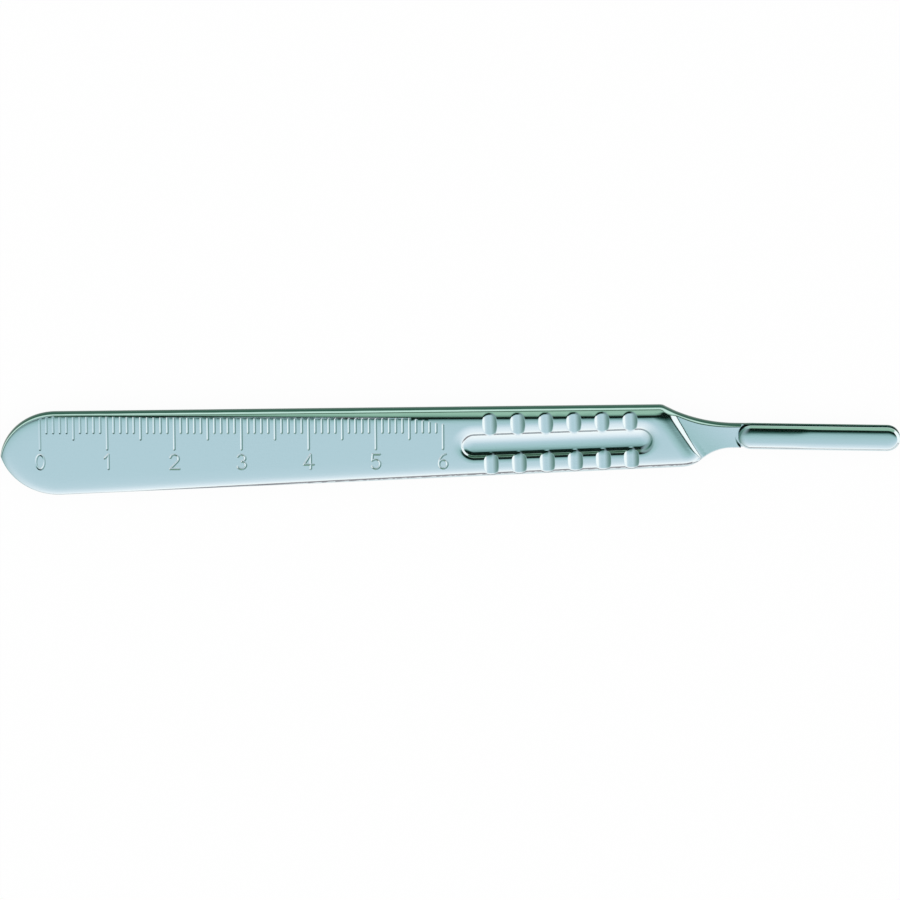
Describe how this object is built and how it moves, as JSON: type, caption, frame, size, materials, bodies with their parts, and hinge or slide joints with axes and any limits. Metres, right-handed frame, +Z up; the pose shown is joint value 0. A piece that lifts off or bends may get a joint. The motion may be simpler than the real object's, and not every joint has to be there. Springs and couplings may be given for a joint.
{
  "type": "scalpel handle",
  "caption": "Flat steel scalpel handle with a centimetre scale, a hollow grip crossed by finger grooves, a slanted shoulder and a slotted tongue that takes a blade.",
  "frame": {"origin": "middle of the length and of the width, on the plane that the back face of the grip rests on", "axes": "+X along the handle towards the blade fitting, +Y across it towards the straight back edge, +Z up out of the face with the scale"},
  "size_m": [0.134, 0.0142, 0.003],
  "materials": {
    "steel": "satin ground stainless steel with polished edges"
  },
  "bodies": {
    "root": {"handle": "steel"}
  },
  "joints": []
}
